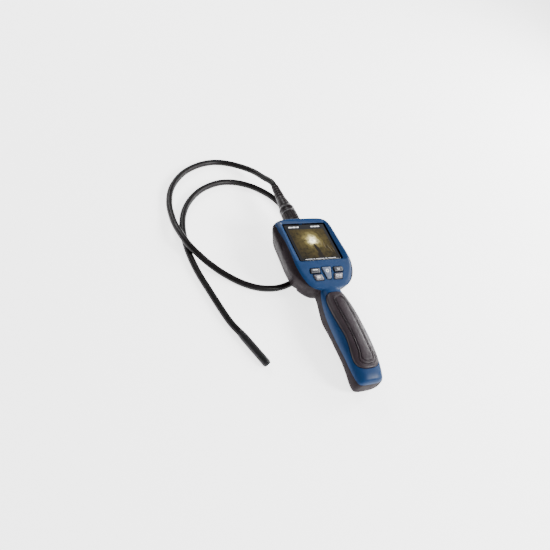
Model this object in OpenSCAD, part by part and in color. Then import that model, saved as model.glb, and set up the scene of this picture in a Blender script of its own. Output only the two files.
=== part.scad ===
// Hand-held inspection camera with a flexible probe, lying on its back on a table.
// +X is right, +Y points from the handle towards the probe, +Z is up out of the screen.
// The origin is under the middle of the handset, on the surface that it lies on.

/* [Handset] */
// Wall thickness of the two moulded shells
wall = 2.2; // [1.8:0.1:2.4]
// Depth of the screen window below the rim round it
dish_depth = 3; // [2.5:0.1:3.2]
// Clearance between the two shells at their parting line
shell_gap = 0.1; // [0.05:0.05:0.2]

/* [Screen] */
// Visible width of the picture
picture_w = 51.4; // [48:0.2:52]
// Visible height of the picture
picture_h = 46.8; // [44:0.2:47.4]

/* [Buttons] */
// Clearance round each button
button_gap = 0.4; // [0.3:0.05:0.5]
// How far each button stands out of the keypad
button_rise = 1.2; // [0.8:0.1:1.5]
// Travel of each button
button_travel = 0.8; // [0.5:0.1:0.8]

/* [Batteries] */
// Diameter of one AA cell
cell_d = 14.2; // [13.5:0.1:14.4]
// Length of one AA cell with its nub
cell_l = 50; // [49:0.1:50.2]

/* [Probe] */
// Diameter of the flexible probe cable
cable_d = 8; // [7.6:0.1:8]
// Diameter of the camera head
camera_d = 9.4; // [9:0.1:9.4]
// Length of the camera head without its ferrule
camera_l = 40; // [36:1:44]
// Radius of the coupling collar
collar_r = 10.3; // [10:0.1:10.8]

/* [Hidden] */

$fn = 48;

// Heights above the table
belly_z = 8.3;
rim_z = 47;
window_z = rim_z - dish_depth;
window_t = 1.6;
board_z = 31.6;
board_t = 1.6;
socket_z = 27;

// Places along Y
head_end_y = 109.5;
heel_y = -121;
socket_end_y = 121;
picture_y = 67;
window_y = [40.4, 98.2];
window_w = 59;

// The keypad slopes down towards the handle
slope_top_y = 36.8;
slope_end_y = 5;
keypad_slope = 0.28;
keypad_tilt = atan(keypad_slope);
keypad_y = 20;
keypad_z = rim_z - keypad_slope * (slope_top_y - keypad_y);

// ---- curves ----

// Smooth interpolation of column c in a table whose first column is the position
function slope_at(t, i, c) =
    i <= 0 ? (t[1][c] - t[0][c]) / (t[1][0] - t[0][0]) :
    i >= len(t) - 1 ? (t[i][c] - t[i - 1][c]) / (t[i][0] - t[i - 1][0]) :
    (t[i + 1][c] - t[i - 1][c]) / (t[i + 1][0] - t[i - 1][0]);
function segment_of(t, x, i = 0) = i >= len(t) - 2 || x <= t[i + 1][0] ? i : segment_of(t, x, i + 1);
function hermite(p0, p1, m0, m1, u) =
    (2 * u * u * u - 3 * u * u + 1) * p0 + (u * u * u - 2 * u * u + u) * m0
    + (3 * u * u - 2 * u * u * u) * p1 + (u * u * u - u * u) * m1;
function smooth(t, x, c) =
    let (i = segment_of(t, x), h = t[i + 1][0] - t[i][0], u = (x - t[i][0]) / h)
    hermite(t[i][c], t[i + 1][c], slope_at(t, i, c) * h, slope_at(t, i + 1, c) * h, u);

// Catmull-Rom curve through points, n steps in each stretch
function cr(p0, p1, p2, p3, u) =
    0.5 * (2 * p1 + (p2 - p0) * u + (2 * p0 - 5 * p1 + 4 * p2 - p3) * u * u
    + (3 * p1 - p0 - 3 * p2 + p3) * u * u * u);
function at_index(p, i) = p[max(0, min(len(p) - 1, i))];
function curve(p, n) = concat([for (i = [0:len(p) - 2]) for (k = [0:n - 1])
    cr(at_index(p, i - 1), p[i], p[i + 1], at_index(p, i + 2), k / n)], [p[len(p) - 1]]);

// ---- body outlines ----

// Right half of the head's widest outline, from the middle of its top round to the neck
HEAD_OUTLINE = [[0, head_end_y], [18, head_end_y], [31, 108.6], [38.5, 105], [42, 97], [43, 84],
    [44, 66], [45, 48], [44.2, 34], [40.8, 22], [34, 12], [25, 5], [13, 2], [0, 1.4]];

// Height of the head's front at a place along Y
function front_z(y) = y > slope_top_y + 3 ? rim_z :
    y > slope_top_y - 3 ? rim_z - keypad_slope * pow(slope_top_y + 3 - y, 2) / 12 :
    rim_z - keypad_slope * (slope_top_y - y);

// Share of the height, and how far the sides lie inside the widest outline
HEAD_LEVELS = [[0, 14.2], [0.03, 11.5], [0.08, 9.6], [0.163, 8], [0.372, 5], [0.54, 2.2],
    [0.665, 0.6], [0.749, 0], [0.874, 1.6], [0.948, 4.2], [1, 7]];
// The ends of the outline move in by this share of what the sides do
end_share = 0.5;
head_mid_y = 55;
head_half_w = 45;
head_half_l = 54;

// Handle: place along Y, half width, bottom, top, and how square the lower half is
HANDLE = [[heel_y, 15, 4.6, 25.5, 2.8], [-119.4, 17.4, 1.4, 28, 2.7], [-115, 19, 0, 30.5, 2.6],
    [-109, 19.9, 1.6, 32.4, 2.6], [-100, 20.6, 5, 34.6, 2.6], [-88, 21, 7.6, 36.8, 2.6],
    [-68, 21.3, 8.2, 38.9, 2.6], [-48, 20.9, 8, 39.4, 2.8], [-30, 19.7, 8, 39, 4],
    [-14, 17.4, 10, 38.2, 4], [-2, 15.6, 12, 37.6, 4], [12, 15, 13, 37.6, 4]];
upper_squareness = 2.9;

HANDLE_STEPS = [-120.2, -118.4, -115, -109, -102, -94, -82, -66, -50, -36, -24, -14, -5, 4, 12];
handle_sides = 28;
// Share of the head's height from which the levels follow the sloping front
front_share = 0.749;

function mirrored(half) = concat(half, [for (i = [len(half) - 2:-1:1]) [-half[i][0], half[i][1]]]);

// Moves each point of a closed outline inwards by d
function inset(p, d) = [for (i = [0:len(p) - 1])
    let (a = p[(i + len(p) - 1) % len(p)], b = p[(i + 1) % len(p)], t = (b - a) / norm(b - a))
    p[i] + d * [t[1], -t[0]]];

// Closed solid through rings of points that run clockwise as seen from the last ring.
// A ladder top joins mirrored points, so that it stays true where the last ring isn't flat.
module skin(rings, ladder = false) {
    n = len(rings[0]);
    m = len(rings);
    last = (m - 1) * n;
    half = n / 2;
    top = ladder
        ? concat([[last, last + 1, last + n - 1], [last + half - 1, last + half, last + half + 1]],
            [for (i = [1:half - 2]) [last + i, last + i + 1, last + n - i - 1, last + n - i]])
        : [[for (i = [0:n - 1]) last + i]];
    sides = [for (j = [0:m - 2]) for (i = [0:n - 1]) for (half_quad = [0, 1])
        let (a = j * n + i, b = j * n + (i + 1) % n)
        half_quad == 0 ? [a, b, b + n] : [a, b + n, a + n]];
    polyhedron(points = [for (r = rings) for (p = r) p],
        faces = concat([[for (i = [n - 1:-1:0]) i]], top, sides));
}

// The head, shrunk by d all round
module head_body(d) {
    outline = mirrored(curve(HEAD_OUTLINE, 2));
    low = belly_z + d;
    high = rim_z - d;
    skin([for (l = HEAD_LEVELS) [for (p = outline)
        let (x = p[0] * (1 - (l[1] + d) / head_half_w),
            y = head_mid_y + (p[1] - head_mid_y) * (1 - (end_share * l[1] + d) / head_half_l))
        [x, y, low + l[0] * (high - low)
            - (rim_z - front_z(y)) * max(0, l[0] - front_share) / (1 - front_share)]]], true);
}

function corner(a, n) = sign(a) * pow(abs(a), 2 / n);
// Cross-section of the handle at y, shrunk by d
function handle_ring(y, d) =
    let (w = smooth(HANDLE, y, 1) - d, low = smooth(HANDLE, y, 2) + d, high = smooth(HANDLE, y, 3) - d,
        mid = (low + high) / 2, h = (high - low) / 2)
    [for (i = [0:handle_sides - 1]) let (a = 360 * i / handle_sides,
            e = sin(a) < 0 ? smooth(HANDLE, y, 4) : upper_squareness)
        [w * corner(cos(a), e), y, mid + h * corner(sin(a), e)]];

// The handle, shrunk by d all round, from start to its end inside the head
module handle_body(d, start = heel_y) {
    skin([for (y = concat([start], [for (s = HANDLE_STEPS) if (s > start + 1) s])) handle_ring(y, d)]);
}

module body(d = 0) {
    head_body(d);
    handle_body(d, heel_y + d);
}

// The two shells meet in a lapped joint: along the outside the rear shell reaches up to the seam,
// and behind that lip the front shell reaches down to the inner seam
SEAM = [[-130, 20], [-121, 21.5], [-112, 22.8], [-100, 24.2], [-88, 25.4], [-44, 25.6], [-14, 27.5],
    [0, 31.5], [5, 36], [10, 38], [19, 40.6], [30, 43.5], [42, 45.5], [64, 45.6], [78, 44.8],
    [92, 43.2], [104, 41.5], [130, 41.5]];
INNER_SEAM = [[-130, 20], [-121, 21.5], [-112, 22.8], [-100, 24.2], [-88, 25.4], [-44, 25.6],
    [-14, 26.8], [0, 31], [5, 34], [12, 36], [22, 37.5], [36, 38.6], [98, 38.6], [130, 38.6]];
lip_t = 1.1;
module above(seam, shift) {
    translate([-60, 0, 0]) rotate([90, 0, 90]) linear_extrude(120)
        polygon(concat([for (p = seam) [p[0], p[1] + shift]], [[130, 70], [-130, 70]]));
}
module above_parting(shift) {
    above(SEAM, shift);
    intersection() {
        above(INNER_SEAM, shift);
        body(lip_t + shift);
    }
}

// ---- the keypad's own frame ----

module on_keypad() {
    translate([0, keypad_y, keypad_z]) rotate([keypad_tilt, 0, 0]) children();
}

// Outlines of the buttons in that frame, right-hand ones first
UPPER_BUTTON = [[10.8, 1], [23.2, 1.6], [23.6, 4], [22.4, 7.4], [10.6, 7.4], [9.9, 6.4], [9.6, 2]];
LOWER_BUTTON = [[8.4, -8], [18.2, -8], [21, -1.2], [20.4, -0.4], [9.2, -0.6], [8.4, -1.4], [7.2, -7]];
POWER_BUTTON = [[-3, -6.6], [-2, -7.4], [2, -7.4], [3, -6.6], [6.8, 7], [6, 8.4], [-6, 8.4], [-6.8, 7]];
function flipped(p) = [for (i = [len(p) - 1:-1:0]) [-p[i][0], p[i][1]]];
BUTTONS = [flipped(UPPER_BUTTON), flipped(LOWER_BUTTON), POWER_BUTTON, UPPER_BUTTON, LOWER_BUTTON];
// Where each button presses the keypad mat
DOMES = [[-16.5, 4.4], [-14.2, -4.4], [0, 1], [16.5, 4.4], [14.2, -4.4]];
stem_r = 2.4;
flange_t = 0.7;
button_flange = 0.6;
flange_top = -wall - 0.35;
dome_top = flange_top - flange_t - button_travel - 0.1;
mat_t = 1.2;
mat_top = dome_top - 0.9;

module button(i, shade) {
    on_keypad() color(shade) {
        translate([0, 0, flange_top - flange_t]) linear_extrude(button_rise - flange_top + flange_t)
            polygon(BUTTONS[i]);
        translate([0, 0, flange_top - flange_t]) linear_extrude(flange_t)
            offset(delta = button_flange) polygon(BUTTONS[i]);
    }
}

// ---- shells ----

screw_r = 1.45;
SCREWS = [[-26, 99], [26, 99], [-30, 24], [30, 24], [0, 7]];
screw_seat_z = 18;
boss_top_z = 31;
door_y = [-96, -28.5];
door_half_w = 11;
door_axis_z = 10.3;
door_barrel_r = 1.5;
door_pin_r = 0.6;
pin_play = 0.05;

module upright(x, y, z0, z1, r) {
    translate([x, y, z0]) cylinder(h = z1 - z0, r = r);
}

// Rectangle with its middle on the Z axis in X, from y[0] to y[1]
module slab(w, y, z0, z1) {
    translate([-w / 2, y[0], z0]) cube([w, y[1] - y[0], z1 - z0]);
}

module dish() {
    hull() {
        slab(window_w + 0.6, [window_y[0] - 0.3, window_y[1] + 0.3], window_z, window_z + 0.1);
        slab(window_w + 10, [window_y[0] - 4, window_y[1] + 4], rim_z, rim_z + 0.1);
    }
}

PAD_OUTLINE = [[0, -5], [8.6, -6], [13.2, -11], [15.2, -22], [15.8, -36], [15.4, -52], [14.6, -64],
    [15, -76], [16.2, -88], [16, -97], [13, -103.5], [7, -106.8], [0, -107.4]];
pad_seat = 1;
pad_rise = 2.8;
module pad_prism(grow = 0) {
    translate([0, 0, 24]) linear_extrude(40)
        polygon([for (p = inset(mirrored(curve(PAD_OUTLINE, 2)), -grow)) p]);
}

module front_shell() {
    color([0.07, 0.27, 0.5]) difference() {
        body();
        difference() {
            body(wall);
            difference() {
                slab(window_w + 6, [window_y[0] - 3, window_y[1] + 3], 41.2, rim_z);
                slab(picture_w + 1.6, [picture_y - picture_h / 2 - 0.8,
                    picture_y + picture_h / 2 + 0.8], 40, rim_z + 1);
            }
            for (p = SCREWS) upright(p[0], p[1], boss_top_z, rim_z, 3.4);
        }
        difference() {
            translate([-60, -130, -1]) cube([120, 260, 60]);
            above_parting(shell_gap / 2);
        }
        slab(picture_w + 1.6, [picture_y - picture_h / 2 - 0.8, picture_y + picture_h / 2 + 0.8],
            40, rim_z);
        slab(window_w + 0.3, [window_y[0] - 0.15, window_y[1] + 0.15], window_z - window_t, rim_z);
        dish();
        on_keypad() for (b = BUTTONS) translate([0, 0, -8]) linear_extrude(12)
            offset(delta = button_gap) polygon(b);
        for (p = SCREWS) upright(p[0], p[1], boss_top_z - 1, p[1] < 10 ? 34.5 : 38.5, screw_r + 0.05);
        difference() {
            pad_prism(0.15);
            handle_body(pad_seat + 0.02, -116);
        }
    }
}

module door_space(grow) {
    slab(2 * (door_half_w + grow), [door_y[0] - grow, door_y[1] + door_barrel_r + 0.8], -1, 14);
}

module rear_shell() {
    color([0.16, 0.14, 0.15]) difference() {
        union() {
            body();
            along_y(0, head_end_y - 6, socket_z) cylinder(h = 6.2, r = 12);
        }
        difference() {
            body(wall);
            for (p = SCREWS) upright(p[0], p[1], 0, boss_top_z - 0.2, 4.2);
            for (side = [-1, 1]) translate([side * (door_half_w + 1.8), door_y[1], 11])
                cube([3, 5, 5.4], center = true);
            along_y(0, head_end_y - 9, socket_z) cylinder(h = 9.2, r = 12);
        }
        above_parting(-shell_gap / 2);
        for (p = SCREWS) {
            upright(p[0], p[1], 0, screw_seat_z, 3.2);
            upright(p[0], p[1], 0, boss_top_z + 1, screw_r + 0.15);
        }
        door_space(0.3);
        for (side = [-1, 1]) translate([side * (door_half_w - 0.5), door_y[1], door_axis_z])
            rotate([0, side * 90, 0]) cylinder(h = 2.8, r = door_pin_r + pin_play);
        along_y(0, head_end_y - 12, socket_z) cylinder(h = 14, r = 7);
        along_y(0, head_end_y - 0.6, socket_z) cylinder(h = 2, r = 8.9);
    }
}

module grip_pad() {
    color([0.2, 0.17, 0.18]) intersection() {
        pad_prism();
        difference() {
            handle_body(-pad_rise, -118);
            handle_body(pad_seat, -118);
        }
    }
}

module window() {
    color([0.03, 0.03, 0.04]) slab(window_w, window_y, window_z - window_t, window_z);
}

module window_gasket() {
    color([0.1, 0.1, 0.1]) difference() {
        slab(57, [41.2, 93], 40.2, 41.2);
        slab(picture_w + 1, [picture_y - picture_h / 2 - 0.5, picture_y + picture_h / 2 + 0.5], 40, 42);
    }
}

module lcd_panel() {
    color([0.35, 0.32, 0.2]) slab(57, [41.2, 93], 38.2, 40.2);
}

module lcd_frame() {
    color([0.75, 0.76, 0.78]) difference() {
        slab(60, [39.6, 94.4], 35, 39.4);
        slab(57.2, [41.1, 93.1], 38.2, 40);
    }
}

module main_board() {
    color([0.05, 0.3, 0.15]) difference() {
        slab(66, [16, 98], board_z, board_z + board_t);
        for (p = SCREWS) upright(p[0], p[1], board_z - 1, board_z + board_t + 1, 4.6);
    }
}

// Chips and connectors: middle x, middle y, width, length, height, on the board's underside
CHIPS = [[-8, 66, 16, 16, 1.6], [14, 70, 10, 14, 1.2], [16, 50, 8, 8, 1.4], [-20, 44, 7, 10, 2.4],
    [0, 88, 14, 6, 4.5], [-22, 82, 9, 6, 3], [0, 30, 18, 5, 3.2], [22, 34, 6, 9, 2]];
// Coils and capacitors: x, y, radius, height
CANS = [[-14, 26, 4, 5], [10, 20, 3.2, 6], [20, 24, 3.2, 6], [-24, 60, 3, 3.5]];
module board_components() {
    color([0.1, 0.1, 0.11]) {
        for (c = CHIPS) translate([c[0] - c[2] / 2, c[1] - c[3] / 2, board_z - c[4]])
            cube([c[2], c[3], c[4]]);
        for (c = CANS) upright(c[0], c[1], board_z - c[3], board_z, c[2]);
    }
}

module keypad_mat() {
    on_keypad() color([0.25, 0.25, 0.26]) {
        translate([-25, -8.4, mat_top - mat_t]) cube([50, 17.4, mat_t]);
        for (p = DOMES) translate([p[0], p[1], mat_top])
            cylinder(h = dome_top - mat_top, r1 = 2.6, r2 = 1.8);
    }
}

module keypad_board() {
    on_keypad() color([0.05, 0.3, 0.15]) translate([-25, -8.4, mat_top - mat_t - 1]) cube([50, 17.4, 1]);
}

// ---- batteries ----

cell_x = 7.25;
cell_z = 20.4;
tray_z = 27.7;
CELLS_Y = [-62.6 - cell_l, -61.8];
module along_y(x, y, z) {
    translate([x, y, z]) rotate([-90, 0, 0]) children();
}
module cell() {
    cylinder(h = cell_l - 1.2, r = cell_d / 2);
    cylinder(h = cell_l, r = 2.6);
}
module battery_cells() {
    color([0.55, 0.52, 0.42]) for (y = CELLS_Y) {
        along_y(-cell_x, y, cell_z) cell();
        along_y(cell_x, y + cell_l, cell_z) mirror([0, 0, 1]) cell();
    }
}
module spring(length) {
    for (i = [0:3]) translate([0, 0, i * length / 4]) rotate_extrude()
        translate([4.2 - i * 0.5, length / 8]) circle(r = length / 8, $fn = 16);
}
module battery_springs() {
    color([0.75, 0.76, 0.78]) {
        along_y(-cell_x, CELLS_Y[0] - 3.2, cell_z) spring(3.1);
        along_y(cell_x, CELLS_Y[1] + cell_l + 3.2, cell_z) mirror([0, 0, 1]) spring(3.1);
    }
}
module battery_contacts() {
    color([0.75, 0.76, 0.78]) {
        translate([-12, CELLS_Y[0] - 3.8, cell_z - 6]) cube([24, 0.5, 11]);
        translate([-11.5, CELLS_Y[1] + cell_l + 3.3, cell_z - 5]) cube([23, 0.5, 10]);
        translate([-14, CELLS_Y[0] + cell_l + 0.15, cell_z - 5]) cube([28, 0.5, 10]);
    }
}
module battery_tray() {
    color([0.2, 0.2, 0.21]) {
        slab(22, [-106, -7.1], tray_z, tray_z + 1.2);
        slab(22, [-7.9, -7.1], 16, tray_z + 1.2);
    }
}
module battery_door() {
    color([0.13, 0.12, 0.12]) {
        intersection() {
            slab(2 * door_half_w, [door_y[0], door_y[1] - 0.6], -1, 13);
            difference() {
                handle_body(0, -118);
                handle_body(wall, -118);
            }
        }
        translate([-door_half_w, door_y[1], door_axis_z]) rotate([0, 90, 0])
            cylinder(h = 2 * door_half_w, r = door_barrel_r);
        translate([-door_half_w - 1.8, door_y[1], door_axis_z]) rotate([0, 90, 0])
            cylinder(h = 2 * door_half_w + 3.6, r = door_pin_r);
    }
}

module housing_screws() {
    color([0.6, 0.6, 0.62]) for (p = SCREWS) difference() {
        union() {
            upright(p[0], p[1], screw_seat_z - 2.2, screw_seat_z, 2.8);
            upright(p[0], p[1], screw_seat_z, p[1] < 10 ? 34 : 37, screw_r);
        }
        for (a = [0, 90]) translate([p[0], p[1], screw_seat_z - 1.9]) rotate(a)
            cube([3, 0.7, 1.4], center = true);
    }
}

// ---- socket and plug, both along Y ----

socket_r = 8;
socket_bore_r = 5.2;
flange_y = head_end_y + 0.3;
module ring(y0, y1, r_out, r_in) {
    along_y(0, y0, socket_z) difference() {
        cylinder(h = y1 - y0, r = r_out);
        translate([0, 0, -1]) cylinder(h = y1 - y0 + 2, r = r_in);
    }
}
module probe_socket() {
    color([0.1, 0.1, 0.11]) {
        ring(flange_y, 113.8, 11, socket_bore_r);
        ring(113.8, socket_end_y, socket_r, socket_bore_r);
        ring(98.6, flange_y, 6.9, socket_bore_r);
    }
}
module socket_insert() {
    color([0.75, 0.72, 0.62]) difference() {
        along_y(0, 106, socket_z) cylinder(h = 6, r = socket_bore_r);
        contact_places() along_y(0, 105, socket_z) cylinder(h = 8, r = 0.5);
    }
}
module contact_places() {
    for (a = [0:60:300]) translate([2.8 * cos(a), 0, 2.8 * sin(a)]) children();
}
module socket_pins() {
    color([0.85, 0.7, 0.3]) contact_places() along_y(0, 101, socket_z) cylinder(h = 14.5, r = 0.5);
}
module socket_seal() {
    color([0.08, 0.08, 0.08]) ring(head_end_y + 0.2 - 0.8, flange_y - 0.05, 8.8, 7.1);
}
module socket_nut() {
    color([0.75, 0.76, 0.78]) along_y(0, 96.8, socket_z) difference() {
        translate([0, 0, 2]) cylinder(h = 1.6, r = 9, $fn = 6);
        cylinder(h = 8, r = 6.95);
    }
}
module probe_wires() {
    color([0.5, 0.1, 0.1]) along_y(0, 93, socket_z) cylinder(h = 7.8, r = 2);
}
module battery_wires() {
    color([0.6, 0.05, 0.05]) for (x = [-7, 7]) along_y(x, -7.1, 24)
        cylinder(h = 36, r = 0.8);
}

collar_y = [114.3, 145];
plug_end_y = 158;
relief_end_y = 184;
collar_play = 0.05;
module coupling_collar() {
    color([0.12, 0.11, 0.12]) difference() {
        along_y(0, collar_y[0], socket_z) rotate_extrude() polygon([
            [socket_r + collar_play, 0], [collar_r - 0.6, 0], [collar_r, 0.8], [collar_r, 17],
            [collar_r - 0.4, 18], [collar_r - 0.4, 19.6], [collar_r, 20.6], [collar_r - 0.6, 27],
            [collar_r - 1.8, collar_y[1] - collar_y[0]], [7 + collar_play, collar_y[1] - collar_y[0]],
            [7 + collar_play, 26], [socket_r + collar_play, 26]]);
        for (a = [0:30:330]) translate([(collar_r + 0.7) * sin(a), 0, (collar_r + 0.7) * cos(a)])
            along_y(0, collar_y[0] + 4, socket_z) cylinder(h = 12, r = 1.3);
    }
}
module plug_body() {
    color([0.1, 0.1, 0.11]) difference() {
        union() {
            along_y(0, 114, socket_z) cylinder(h = socket_end_y + 0.3 - 114, r = socket_bore_r - 0.1);
            along_y(0, socket_end_y + 0.3, socket_z) cylinder(h = 17, r = socket_r);
            along_y(0, 138, socket_z) cylinder(h = 8, r = 7);
            along_y(0, 145.5, socket_z) cylinder(h = plug_end_y - 145.5, r1 = 8.4, r2 = 6.4);
        }
        contact_places() along_y(0, 113, socket_z) cylinder(h = 5, r = 0.8);
    }
}
module plug_contacts() {
    color([0.85, 0.7, 0.3]) contact_places() along_y(0, 115.6, socket_z) cylinder(h = 2.4, r = 0.8);
}
module strain_relief() {
    color([0.12, 0.11, 0.12]) difference() {
        along_y(0, plug_end_y, socket_z) cylinder(h = relief_end_y - plug_end_y, r1 = 6.3, r2 = 4.7);
        for (i = [0:4]) ring(162.5 + i * 4, 163.7 + i * 4, 8, 5.4 - i * 0.22);
    }
}

// ---- probe ----

cable_z = cable_d / 2 + 0.05;
// The cable's middle line from the strain relief to the camera head's ferrule
ROUTE = [[0, relief_end_y, socket_z], [-0.5, 195.5, 25.8], [-4, 209.5, 20.4], [-11.3, 229.2, 13.4],
    [-26.3, 245.3, 8.2], [-44.6, 255.1, 4.9], [-64.6, 256.1, cable_z], [-88.6, 248.5, cable_z],
    [-113.6, 232.3, cable_z], [-134.6, 207.3, cable_z], [-145.6, 180.3, cable_z],
    [-149.5, 154.3, 5.6], [-150.4, 134.9, 8.8], [-148.5, 115.5, 11.9], [-144.3, 100.3, 12.5],
    [-136.2, 87.2, 10.6], [-125.6, 75.3, 7], [-111.3, 60.7, 4.6], [-93.6, 45.6, cable_z],
    [-74.4, 35.7, cable_z], [-53, 32.5, cable_z], [-32.4, 36.3, cable_z], [-12.6, 45.8, cable_z],
    [6.9, 63.3, cable_z], [19.9, 89.3, cable_z], [23.4, 121.3, cable_z], [18.4, 155.3, cable_z],
    [8.4, 183.3, cable_z], [-5.6, 199.6, cable_z], [-23.6, 211.3, cable_z],
    [-46.1, 217.1, cable_z], [-70.6, 214.3, cable_z], [-98.6, 200.3, cable_z],
    [-122.6, 176.3, cable_z], [-137.6, 147.3, cable_z], [-144.1, 111.3, cable_z],
    [-143.2, 73.3, cable_z], [-136.4, 35.3, cable_z], [-127.7, -4.8, 4.3], [-120, -24, 4.7]];
cable_sides = 10;
ring_step = 14.5;

function lengths(p, i = 0, sum = 0) = i >= len(p) - 1 ? [sum] :
    concat([sum], lengths(p, i + 1, sum + norm(p[i + 1] - p[i])));
function flat_perp(t) = let (s = cross(t, [0, 0, 1])) s / norm(s);
function tube_ring(p, t, r) = let (side = flat_perp(t), up = cross(side, t))
    [for (i = [0:cable_sides - 1]) let (a = 360 * i / cable_sides + 90)
        p + r * (cos(a) * side + sin(a) * up)];
module probe_cable() {
    line = curve(ROUTE, 6);
    run = lengths(line);
    rings = round(run[len(run) - 1] / ring_step);
    table = [for (i = [0:len(line) - 1]) [run[i], line[i][0], line[i][1], line[i][2]]];
    function at(s) = [smooth(table, s, 1), smooth(table, s, 2), smooth(table, s, 3)];
    color([0.08, 0.08, 0.08]) skin([for (k = [0:rings])
        let (s = run[len(run) - 1] * k / rings, e = 0.5,
            t = k == 0 ? [0, 1, 0] : k == rings ? camera_way : at(s + e) - at(s - e))
        tube_ring(at(s), t / norm(t), cable_d / 2)]);
}

// Everything on the camera head, along +Y from the end of the cable
camera_turn = 201;
camera_way = [-sin(camera_turn), cos(camera_turn), 0];
ferrule_l = 6;
module on_camera() {
    translate([-120, -24, 4.7]) rotate([0, 0, camera_turn]) rotate([-90, 0, 0]) children();
}
module tube(z0, z1, r_out, r_in) {
    translate([0, 0, z0]) difference() {
        cylinder(h = z1 - z0, r = r_out);
        translate([0, 0, -1]) cylinder(h = z1 - z0 + 2, r = r_in);
    }
}
camera_r = camera_d / 2;
tip = ferrule_l + camera_l;
module camera_ferrule() {
    color([0.1, 0.1, 0.1]) on_camera() cylinder(h = ferrule_l, r1 = cable_d / 2 + 0.3, r2 = camera_r - 0.1);
}
module camera_housing() {
    color([0.09, 0.09, 0.1]) on_camera() tube(ferrule_l, tip, camera_r, camera_r - 0.6);
}
module camera_seal() {
    color([0.05, 0.05, 0.05]) on_camera() tube(tip - 3.6, tip - 2.8, camera_r - 0.65, camera_r - 1.3);
}
module image_sensor() {
    color([0.2, 0.35, 0.25]) on_camera() translate([-2.2, -2.2, tip - 12]) cube([4.4, 4.4, 3]);
}
module camera_lens() {
    color([0.12, 0.12, 0.14]) on_camera() translate([0, 0, tip - 9]) cylinder(h = 6.6, r = 1.6);
}
module led_ring() {
    color([0.95, 0.95, 0.85]) on_camera() {
        tube(tip - 6, tip - 5.2, camera_r - 0.7, 1.7);
        for (a = [0:60:300]) rotate(a) translate([2.4, 0, tip - 5.2]) cylinder(h = 1.2, r = 0.6);
    }
}
module tip_window() {
    color([0.6, 0.65, 0.7]) on_camera() translate([0, 0, tip - 2.4]) cylinder(h = 1.4, r = camera_r - 0.65);
}
module tip_ring() {
    color([0.15, 0.15, 0.16]) on_camera() tube(tip, tip + 1.4, camera_r - 0.5, camera_r - 1.2);
}

front_shell();
rear_shell();
grip_pad();
window();
window_gasket();
lcd_panel();
lcd_frame();
main_board();
board_components();
keypad_board();
keypad_mat();
button(0, [0.35, 0.38, 0.42]);  // button_left_upper
button(1, [0.35, 0.38, 0.42]);  // button_left_lower
button(2, [0.3, 0.34, 0.4]);  // button_power
button(3, [0.35, 0.38, 0.42]);  // button_right_upper
button(4, [0.35, 0.38, 0.42]);  // button_right_lower
battery_tray();
battery_cells();
battery_springs();
battery_contacts();
battery_door();
housing_screws();
probe_socket();
socket_insert();
socket_pins();
socket_seal();
socket_nut();
probe_wires();
battery_wires();
coupling_collar();
plug_body();
plug_contacts();
strain_relief();
probe_cable();
camera_ferrule();
camera_housing();
camera_seal();
image_sensor();
camera_lens();
led_ring();
tip_window();
tip_ring();
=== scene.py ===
# Visual model of a hand-held inspection camera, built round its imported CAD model.
# Lengths are in millimetres until a mesh is made, which turns them into metres.
import math
import bmesh
import bpy
from mathutils import Matrix, Vector


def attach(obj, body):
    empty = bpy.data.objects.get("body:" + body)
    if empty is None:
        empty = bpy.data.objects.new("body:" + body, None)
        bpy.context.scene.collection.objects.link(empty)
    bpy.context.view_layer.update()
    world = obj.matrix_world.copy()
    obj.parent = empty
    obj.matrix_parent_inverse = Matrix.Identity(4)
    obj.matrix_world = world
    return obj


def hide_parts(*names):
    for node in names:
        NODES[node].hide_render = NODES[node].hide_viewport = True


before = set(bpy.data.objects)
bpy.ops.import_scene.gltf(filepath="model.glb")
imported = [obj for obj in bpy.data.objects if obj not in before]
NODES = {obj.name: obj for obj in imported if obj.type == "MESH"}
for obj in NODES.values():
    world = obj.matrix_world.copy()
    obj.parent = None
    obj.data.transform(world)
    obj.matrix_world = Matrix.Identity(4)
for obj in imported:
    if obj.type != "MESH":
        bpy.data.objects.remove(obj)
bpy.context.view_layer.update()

MM = 0.001


# ------------------------------------------------------------------ camera

def add_camera():
    """The photograph's view: from the front left and above, with the camera rolled."""
    azimuth, elevation, roll = math.radians(-42.73), math.radians(44.49), math.radians(-28.09)
    right = Vector((math.cos(azimuth), math.sin(azimuth), 0))
    back = Vector((math.sin(azimuth) * math.cos(elevation),
                   -math.cos(azimuth) * math.cos(elevation), math.sin(elevation)))
    up = back.cross(right)
    c, s = math.cos(-roll), math.sin(-roll)
    right, up = c * right + s * up, c * up - s * right
    data = bpy.data.cameras.new("camera")
    data.lens, data.sensor_width = 41.35, 36
    data.clip_start, data.clip_end = 0.01, 20
    ob = bpy.data.objects.new("camera", data)
    bpy.context.scene.collection.objects.link(ob)
    turn = Matrix((right, up, back)).transposed()
    ob.matrix_world = Matrix.Translation((-0.4221, -0.3563, 0.5509)) @ turn.to_4x4()
    bpy.context.scene.camera = ob


add_camera()

# --------------------------------------------------------------- materials


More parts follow.
